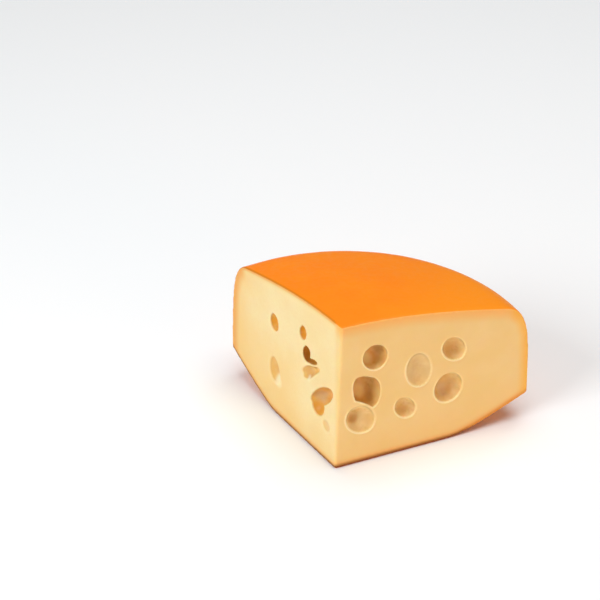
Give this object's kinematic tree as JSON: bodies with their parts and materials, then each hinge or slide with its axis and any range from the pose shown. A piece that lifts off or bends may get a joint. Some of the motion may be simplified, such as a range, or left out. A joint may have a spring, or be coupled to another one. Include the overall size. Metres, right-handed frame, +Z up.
{
  "type": "maasdam cheese wedge",
  "caption": "Wedge of a domed cheese wheel, orange coated outside and pale yellow inside, with round eyes opened by the knife on both cuts.",
  "frame": {"origin": "middle of the wedge's bounding box at the height of the flat underside that it rests on", "axes": "+Z up; the upright edge where the two cuts meet points to -Y and the curved rind to +Y, so +X is along the wedge's widest extent"},
  "size_m": [0.2804, 0.186, 0.1496],
  "materials": {
    "cheese": "moist semi-hard cheese paste, pale yellow and slightly translucent, under a satin orange coat on the outside of the wheel"
  },
  "bodies": {
    "root": {"cheese_wedge": "cheese"}
  },
  "joints": []
}
